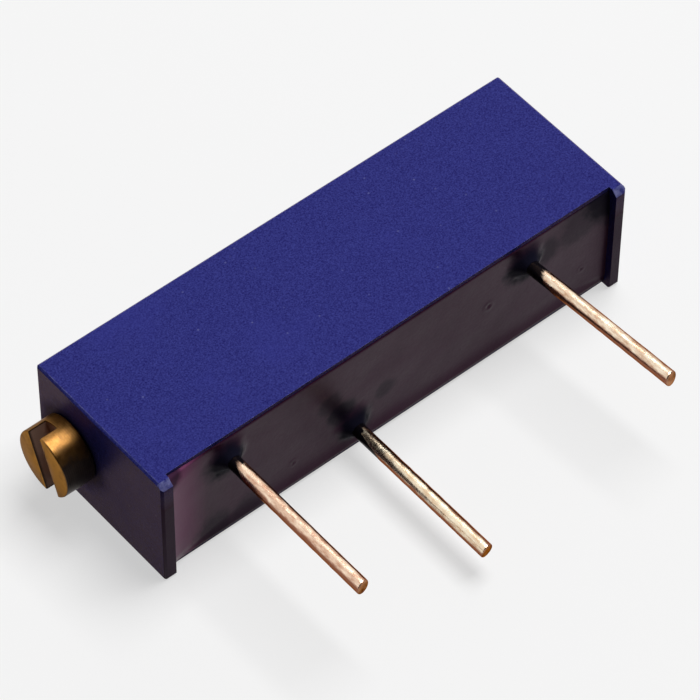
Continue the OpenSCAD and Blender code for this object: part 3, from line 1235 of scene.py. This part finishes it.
@dataclass
class WireTerminal:
    """One solder-dipped wire, from its joint on the element to its sheared end."""

    number: int
    radius: float = 0.255
    turn_steps: int = 28
    collar_depth: float = 1.29
    collar_radius: float = 0.4
    collar_half: float = 0.125
    taper_radius: float = 0.35
    taper_length: float = 0.78
    ring_step: float = 0.09
    end_round: float = 0.03
    shear: float = 0.1
    shear_turn: float = 200.0
    shear_reach: float = 0.25
    lump: float = 0.007
    lump_size: float = 0.28
    lump_from: float = 2.0

    def build(self) -> None:
        """Build the wire along +Z from its top, then lean it and put it in place."""
        node = f"terminal_{self.number}"
        low, high = node_box(node)
        point, axis = mount_axis(node)
        lean = math.atan2(axis.x, -axis.y)
        length = self.collar_depth + (high.y - self.collar_depth - low.y) / math.cos(lean)
        bm = lathe(self.profile(length), self.turn_steps)
        self.shear_end(bm, length)
        self.thicken_coat(bm)
        bmesh.ops.rotate(
            bm,
            verts=[v for v in bm.verts if v.co.z > self.collar_depth + 1e-4],
            cent=(0, 0, self.collar_depth),
            matrix=Matrix.Rotation(lean, 3, "Y"),
        )
        collar_y = high.y - self.collar_depth
        foot = point + axis * (collar_y - point.y) / axis.y
        place = Matrix.Translation((foot.x, high.y, foot.z)) @ Matrix.Rotation(math.pi / 2, 4, "X")
        bmesh.ops.transform(bm, matrix=place, verts=bm.verts)
        finish = WIRES_TINNED[self.number - 1]
        name = f"wire_terminal_{self.number}"
        make_piece(name, bm, Body.CASE, finish, node, smooth_below=40)

    def profile(self, length: float) -> list[tuple[float, float]]:
        """Return the wire's half outline from its top to its end.

        Args:
            length: Length of the whole wire.

        Returns:
            Radius and height of each point.
        """
        collar_0 = self.collar_depth - self.collar_half
        collar_1 = self.collar_depth + self.collar_half
        plain = self.collar_depth + self.taper_length
        plain_length = length - self.end_round - plain
        share = self.collar_half / self.taper_length
        steps = round(plain_length / self.ring_step)
        return [
            (0, 0),
            (self.radius, 0),
            (self.radius, collar_0),
            (self.collar_radius, collar_0),
            (self.collar_radius, collar_1),
            (self.taper_radius + (self.radius - self.taper_radius) * share, collar_1),
            *((self.radius, plain + plain_length * k / steps) for k in range(steps + 1)),
            (self.radius - self.end_round / 3, length - self.end_round / 3),
            (self.radius - self.end_round, length),
            (self.radius / 2, length),
            (0, length),
        ]

    def shear_end(self, bm: Mesh, length: float) -> None:
        """Slope the end as side cutters leave it, with a small lip on one side.

        Args:
            bm: The wire along +Z.
            length: Length of the whole wire.
        """
        turn = math.radians(self.shear_turn)
        across = Vector((math.cos(turn), math.sin(turn), 0))
        for vert in bm.verts:
            if vert.co.z > length - self.shear_reach:
                reach = (vert.co.z - length + self.shear_reach) / self.shear_reach
                slope = vert.co.dot(across) / self.radius
                vert.co.z -= self.shear * reach * (1 - slope) / 2

    def thicken_coat(self, bm: Mesh) -> None:
        """Make the solder coat uneven along the free wire, each wire in its own way.

        Args:
            bm: The wire along +Z.
        """
        bm.normal_update()
        seed = 2.3 * self.number
        shift = Vector((seed, -seed, 2 * seed))
        for vert in bm.verts:
            if vert.co.z > self.lump_from:
                uneven = noise.noise(vert.co / self.lump_size + shift)
                vert.co += vert.normal * self.lump * uneven


# ---- Lead screw ----


@dataclass
class LeadScrew:
    """The brass screw: slotted head, grooved neck, thread and pilot, in one turned piece."""

    turn_steps: int = 64
    head_radius: float = 1.225
    head_length: float = 1.15
    head_round: float = 0.06
    tool_rings: int = 14
    ring_points: int = 6
    ring_depth: float = 0.003
    slot_width: float = 0.66
    slot_depth: float = 0.7
    slot_turn: float = 20.0
    slot_break: float = 0.03
    neck_radius: float = 1.05
    neck_chamfer: float = 0.05
    groove_radius: float = 0.65
    seal_from: float = 1.84
    seal_width: float = 0.6
    clip_from: float = 2.98
    clip_width: float = 0.31
    neck_end: float = 3.49
    core_radius: float = 0.58
    thread_radius: float = 0.85
    thread_end: float = 19.09
    thread_steps: int = 26
    pitch: float = 0.72
    root_share: float = 0.36
    crest_share: float = 0.12
    run_in: float = 0.1
    run_out: float = 0.15
    pilot_radius: float = 0.5
    pilot_chamfer: float = 0.1

    def build(self) -> None:
        """Build the screw along +Z from its slotted face, and turn it onto its axis."""
        low, high = node_box("lead_screw")
        bm = lathe(self.profile(high.x - low.x), self.turn_steps)
        bm = self.cut_slot(bm)
        self.add_thread(bm)
        axis = screw_axis()
        place = (
            Matrix.Translation((low.x, axis.y, axis.z))
            @ Matrix.Rotation(-math.radians(self.slot_turn), 4, "X")
            @ Matrix.Rotation(math.pi / 2, 4, "Y")
        )
        bmesh.ops.transform(bm, matrix=place, verts=bm.verts)
        make_piece(
            "lead_screw_turned", bm, Body.SCREW, SCREW_BRASS, "lead_screw"
        )

    def profile(self, length: float) -> list[tuple[float, float]]:
        """Return the screw's half outline without its thread.

        Args:
            length: Length of the whole screw.

        Returns:
            Radius and height of each point.
        """
        r, c = self.head_radius, self.head_round
        side = self.head_length - 1.5 * c
        steps = self.ring_points * self.tool_rings
        phases = (math.tau * k / self.ring_points for k in range(steps + 1))
        waves = (self.ring_depth * (math.cos(phase) - 1) / 2 for phase in phases)
        return [
            (0, 0),
            (r / 2, 0),
            (r - c, 0),
            (r - c * 0.3, c * 0.3),
            *((r + wave, c + side * k / steps) for k, wave in enumerate(waves)),
            (r - c / 2, self.head_length),
            (self.neck_radius, self.head_length),
            *self.groove(self.seal_from, self.seal_width),
            *self.groove(self.clip_from, self.clip_width),
            (self.neck_radius, self.neck_end - self.neck_chamfer),
            (self.neck_radius - self.neck_chamfer, self.neck_end),
            (self.core_radius, self.neck_end),
            (self.core_radius, self.thread_end),
            (self.pilot_radius, self.thread_end),
            (self.pilot_radius, length - self.pilot_chamfer),
            (self.pilot_radius - self.pilot_chamfer, length),
            (0, length),
        ]

    def groove(self, start: float, width: float) -> list[tuple[float, float]]:
        """Return the half outline of a square groove in the neck."""
        wide, deep = self.neck_radius, self.groove_radius
        return [(wide, start), (deep, start), (deep, start + width), (wide, start + width)]

    def cut_slot(self, bm: Mesh) -> Mesh:
        """Cut the screwdriver slot across the head and break its edges.

        Args:
            bm: The turned screw, freed here.

        Returns:
            The screw with its slot.
        """
        cutter = bmesh.new()
        size = (4 * self.head_radius, self.slot_width, 2 * self.slot_depth, 1)
        bmesh.ops.create_cube(cutter, size=1, matrix=Matrix.Diagonal(size))
        parts = [add_object("turned", bm), add_object("cutter", cutter)]
        cut = parts[0].modifiers.new("slot", "BOOLEAN")
        cut.operation, cut.solver, cut.object = "DIFFERENCE", "EXACT", parts[1]
        shown = parts[0].evaluated_get(bpy.context.evaluated_depsgraph_get())
        made = bmesh.new()
        made.from_mesh(shown.to_mesh())
        for part in parts:
            bpy.data.objects.remove(part)
        half, near = self.slot_width / 2, 0.01
        rims = [
            e
            for e in sharp_edges(made, over=40)
            if all(v.co.z < self.slot_depth + near for v in e.verts)
            and all(abs(abs(v.co.y) - half) < near for v in e.verts)
        ]
        bmesh.ops.bevel(
            made,
            geom=rims,
            offset=self.slot_break,
            affect="EDGES",
            segments=2,
            profile=0.5,
            material=-1,
        )
        return made

    def add_thread(self, bm: Mesh) -> None:
        """Wind the thread's ridge round the core.

        Args:
            bm: The screw along +Z.
        """
        half, crest = self.pitch * self.root_share, self.pitch * self.crest_share
        start = self.neck_end + half + self.run_in
        turns = (self.thread_end - start - half - self.run_out) / self.pitch
        root, tip = self.core_radius - 0.03, self.thread_radius
        outline = ((root, -half), (tip, -crest), (tip, crest), (root, half))
        verts = [bm.verts.new((r, 0, start + z)) for r, z in outline]
        face = bm.faces.new(verts)
        count = round(turns * self.thread_steps)
        bmesh.ops.spin(
            bm,
            geom=[*verts, *face.edges, face],
            cent=(0, 0, 0),
            axis=(0, 0, 1),
            dvec=(0, 0, self.pitch / self.thread_steps),
            angle=math.tau * count / self.thread_steps,
            steps=count,
        )
        bmesh.ops.recalc_face_normals(bm, faces=bm.faces)


# ---- Inner pieces ----


@dataclass
class InnerWorks:
    """The pieces inside the case, with the edges that moulding and stamping leave.

    Each rounded piece has its rounding, its body, its slot and its finish.
    """

    rounded: tuple[tuple[str, float, Body, str, Finish], ...] = (
        ("carriage", 0.05, Body.SLIDER, "carriage_plastic", CARRIAGE_NYLON),
        ("wiper", 0.012, Body.SLIDER, "spring_alloy", WIPER_ALLOY),
        ("retaining_clip", 0.03, Body.CASE, "clip_steel", CLIP_STEEL),
        ("substrate", 0.04, Body.CASE, "alumina", ALUMINA_PLATE),
    )
    dressed: tuple[tuple[str, Finish], ...] = (
        ("shaft_seal_ring", SEAL_RUBBER),
        ("resistive_track", TRACK_CERMET),
        ("collector_track", PAD_SILVER),
        ("termination_pad_1", PAD_SILVER),
        ("termination_pad_3", PAD_SILVER),
        ("solder_joint_1", SOLDER_SOFT),
        ("solder_joint_2", SOLDER_SOFT),
        ("solder_joint_3", SOLDER_SOFT),
    )

    def build(self) -> None:
        """Build the rounded pieces and dress the films, joints and seal."""
        for name, width, body, slot, finish in self.rounded:
            bm = cad_copy(name)
            soften(bm, width)
            make_piece(f"{name}_finished", bm, body, finish, name)
        for name, finish in self.dressed:
            dress_node(name, finish)


# ---- Floor, light and camera ----


@dataclass(frozen=True)
class Softbox:
    """A square lamp of an even radiance, aimed at the object. Sizes are in metres."""

    name: str
    way: tuple[float, float, float]
    distance: float
    size: float
    radiance: float
    mirrored: bool = False

    def build(self) -> None:
        """Build the lamp."""
        data = bpy.data.lights.new(self.name, "AREA")
        data.shape = "SQUARE"
        data.size = self.size
        data.energy = self.radiance * math.pi * self.size**2
        lamp = bpy.data.objects.new(self.name, data)
        out = Vector(self.way).normalized()
        turn = out.to_track_quat("Z", "Y").to_matrix().to_4x4()
        lamp.matrix_world = Matrix.Translation(out * self.distance) @ turn
        lamp.visible_glossy = self.mirrored
        bpy.context.scene.collection.objects.link(lamp)


@dataclass
class Studio:
    """A pale floor, a soft lamp overhead and a weak one behind, and the camera with a
    dark drape behind it.

    Sizes are in metres, but the camera's place is in millimetres.
    """

    backdrop: str = "#f8f8f8"
    dim: str = "#2c2a2a"
    floor_half: float = 2.0
    self_light: float = 0.6
    fade_from: float = 0.04
    fade_to: float = 0.2
    room_light: float = 0.06
    lamps: tuple[Softbox, ...] = (
        Softbox("overhead_lamp", (0.34, 0.03, 0.94), 0.5, 0.3, 8.9, mirrored=True),
        Softbox("back_lamp", (0.55, 0.75, 0.36), 0.6, 0.5, 0.5),
    )
    felt: str = "#1c1a1c"
    drape_radius: float = 0.75
    drape_from: float = 9.0
    drape_to: float = 78.0
    drape_start: float = -175.0
    drape_width: float = 165.0
    camera_place: tuple[float, float, float] = (-58.601, -69.784, 113.903)
    camera_way: tuple[float, float, float] = (0.40625, 0.47885, -0.77824)
    camera_up: tuple[float, float, float] = (0.4965, 0.59932, 0.62794)
    lens: float = 229.83

    def build(self) -> None:
        """Build the floor, the drape, the world, the lamps and the camera."""
        self.floor()
        self.drape()
        self.world()
        for lamp in self.lamps:
            lamp.build()
        self.camera()
        bpy.context.scene.view_settings.view_transform = "Standard"

    def seen(self, tree: Tree) -> Node:
        """Tell the rays that show the backdrop from those that light the object.

        Args:
            tree: The tree of the floor's material or of the world.

        Returns:
            A mask that is 1 for camera, glossy and transmission rays.
        """
        path = add_node(tree, "ShaderNodeLightPath")
        shown = path.outputs["Is Camera Ray"]
        for name in ("Is Glossy Ray", "Is Transmission Ray"):
            shown = add_node(tree, MATH, {0: shown, 1: path.outputs[name]}, operation="MAXIMUM")
        return shown

    def floor(self) -> None:
        """Build the floor, pale where it is seen and dark to bounced light.

        Away from the object it turns into the plain backdrop, so that no horizon shows.
        """
        bm = bmesh.new()
        bmesh.ops.create_grid(bm, x_segments=1, y_segments=1, size=self.floor_half)
        floor = add_object("floor", bm)
        material = bpy.data.materials.new("floor_card")
        material.use_nodes = True
        tree = material.node_tree
        tree.nodes.clear()
        lit = add_node(tree, "ShaderNodeBsdfDiffuse", {0: srgb(self.backdrop)})
        glow = add_node(tree, "ShaderNodeEmission", {0: srgb(self.backdrop)})
        coords = add_node(tree, TEX_COORD).outputs["Object"]
        away = add_node(tree, VECTOR_MATH, {0: coords}, operation="LENGTH")
        fade = {0: away, 1: self.fade_from, 2: self.fade_to, 3: self.self_light}
        share = add_node(tree, MAP_RANGE, fade)
        pale = add_node(tree, MIX_SHADER, {0: share, 1: lit, 2: glow})
        dark = add_node(tree, "ShaderNodeBsdfDiffuse", {0: srgb(self.dim)})
        both = add_node(tree, MIX_SHADER, {0: self.seen(tree), 1: dark, 2: pale})
        add_node(tree, "ShaderNodeOutputMaterial", {"Surface": both})
        floor.data.materials.append(material)

    def drape(self) -> None:
        """Build the dark drape behind the camera, which stands for the dim room there.

        It starts well above the horizon, so that no view of the object has it behind.
        """
        bm = bmesh.new()
        lift = Matrix.Rotation(-math.radians(self.drape_from), 3, "Y")
        first = bm.verts.new(lift @ Vector((self.drape_radius, 0, 0)))
        rise = math.radians(self.drape_to - self.drape_from)
        bmesh.ops.spin(bm, geom=[first], axis=(0, -1, 0), angle=rise, steps=12)
        start = Matrix.Rotation(math.radians(self.drape_start), 3, "Z")
        bmesh.ops.rotate(bm, verts=bm.verts, matrix=start)
        hem = bm.verts[:] + bm.edges[:]
        width = math.radians(self.drape_width)
        bmesh.ops.spin(bm, geom=hem, axis=(0, 0, 1), angle=width, steps=16)
        drape = add_object("dark_drape", bm)
        material = bpy.data.materials.new("felt_dark")
        material.use_nodes = True
        shader = material.node_tree.nodes["Principled BSDF"]
        shader.inputs["Base Color"].default_value = srgb(self.felt)
        drape.data.materials.append(material)

    def world(self) -> None:
        """Build the world, pale where it is seen and dim where it lights."""
        world = bpy.data.worlds.new("studio")
        world.use_nodes = True
        tree = world.node_tree
        tree.nodes.clear()
        room = {0: srgb("#ffffff"), 1: self.room_light}
        dim = add_node(tree, "ShaderNodeBackground", room)
        pale = add_node(tree, "ShaderNodeBackground", {0: srgb(self.backdrop), 1: 1.0})
        both = add_node(tree, MIX_SHADER, {0: self.seen(tree), 1: dim, 2: pale})
        add_node(tree, "ShaderNodeOutputWorld", {"Surface": both})
        bpy.context.scene.world = world

    def camera(self) -> None:
        """Build the camera."""
        data = bpy.data.cameras.new("camera")
        data.lens = self.lens
        data.sensor_width = 36.0
        data.clip_start = 0.001
        data.clip_end = 20.0
        camera = bpy.data.objects.new("camera", data)
        back = -Vector(self.camera_way).normalized()
        up = Vector(self.camera_up)
        up = (up - back * up.dot(back)).normalized()
        right = up.cross(back)
        turn = Matrix((right, up, back)).transposed().to_4x4()
        camera.matrix_world = Matrix.Translation(Vector(self.camera_place) * MM) @ turn
        bpy.context.scene.collection.objects.link(camera)
        bpy.context.scene.camera = camera


def main() -> None:
    """Build the stage and every piece."""
    logging.basicConfig(level=logging.INFO, format="%(message)s")
    Studio().build()
    CaseMoulding().build()
    SealantFill().build()
    for terminal in (
        WireTerminal(1),
        WireTerminal(2, shear_turn=160.0, shear=0.07),
        WireTerminal(3, shear_turn=230.0, shear=0.12),
    ):
        terminal.build()
    LeadScrew().build()
    InnerWorks().build()


if __name__ == "__main__":
    main()
